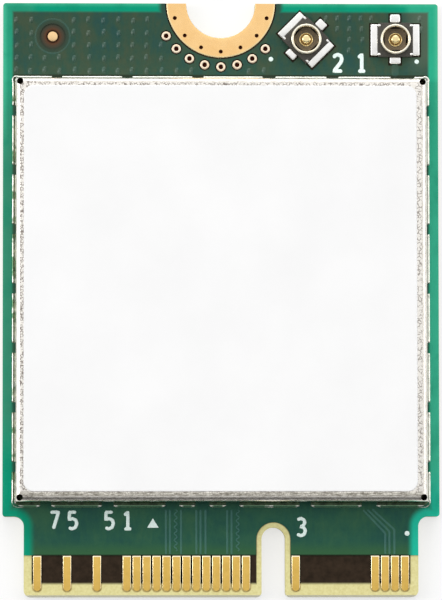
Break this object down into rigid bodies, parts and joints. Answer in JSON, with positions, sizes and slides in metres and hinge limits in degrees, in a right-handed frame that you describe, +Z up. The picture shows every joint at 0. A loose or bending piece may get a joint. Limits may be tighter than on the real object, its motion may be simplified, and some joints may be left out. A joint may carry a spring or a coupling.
{
  "type": "wireless network card",
  "caption": "Flat wireless card for an edge socket: green circuit board with gold edge contacts, key slot, screw notch, shielded radio under a blank label, and small antenna jacks.",
  "frame": {"origin": "middle of the card's outline, on the underside that it lies on", "axes": "+Y towards the screw notch, -Y towards the edge contacts, +Z up from the underside to the shield"},
  "size_m": [0.022, 0.03, 0.0023],
  "materials": {
    "laminate": "bare glass-fibre laminate, brown where an inner plane shows through",
    "solder_mask": "satin green lacquer, brighter where no copper lies under it",
    "contact_gold": "hard gold plating, smooth",
    "land_gold": "soft gold plating, satin",
    "shield_metal": "rolled nickel silver sheet, speckled",
    "solder": "bright reflowed solder",
    "label_film": "blank white film",
    "jack_plastic": "dark moulded plastic",
    "jack_gold": "pale gold plating",
    "chip_mould": "black moulding compound",
    "ceramic": "fired ceramic",
    "ferrite": "pressed metal powder",
    "tin": "tin plating"
  },
  "bodies": {
    "root": {"circuit_board": "laminate", "solder_mask_top": "solder_mask", "solder_mask_bottom": "solder_mask", "contact_fingers_top": "contact_gold", "contact_fingers_bottom": "contact_gold", "screw_pad": "land_gold", "ground_via_rings": "land_gold", "fiducial_dot": "land_gold", "shield_can": "shield_metal", "shield_solder": "solder", "shield_label": "label_film", "radio_chip": "chip_mould", "power_chip": "chip_mould", "front_end_module_1": "chip_mould", "front_end_module_2": "chip_mould", "antenna_filters": "ceramic", "crystal_package": "ceramic", "crystal_lid": "tin", "power_inductors": "ferrite", "capacitor_bodies": "ceramic", "capacitor_terminals": "tin", "resistor_bodies": "chip_mould", "resistor_terminals": "tin", "component_solder": "solder", "jack_1_outer_contact": "jack_gold", "jack_1_centre_contact": "jack_gold", "jack_1_insulator": "jack_plastic", "jack_1_solder": "solder", "jack_2_outer_contact": "jack_gold", "jack_2_centre_contact": "jack_gold", "jack_2_insulator": "jack_plastic", "jack_2_solder": "solder"}
  },
  "joints": []
}
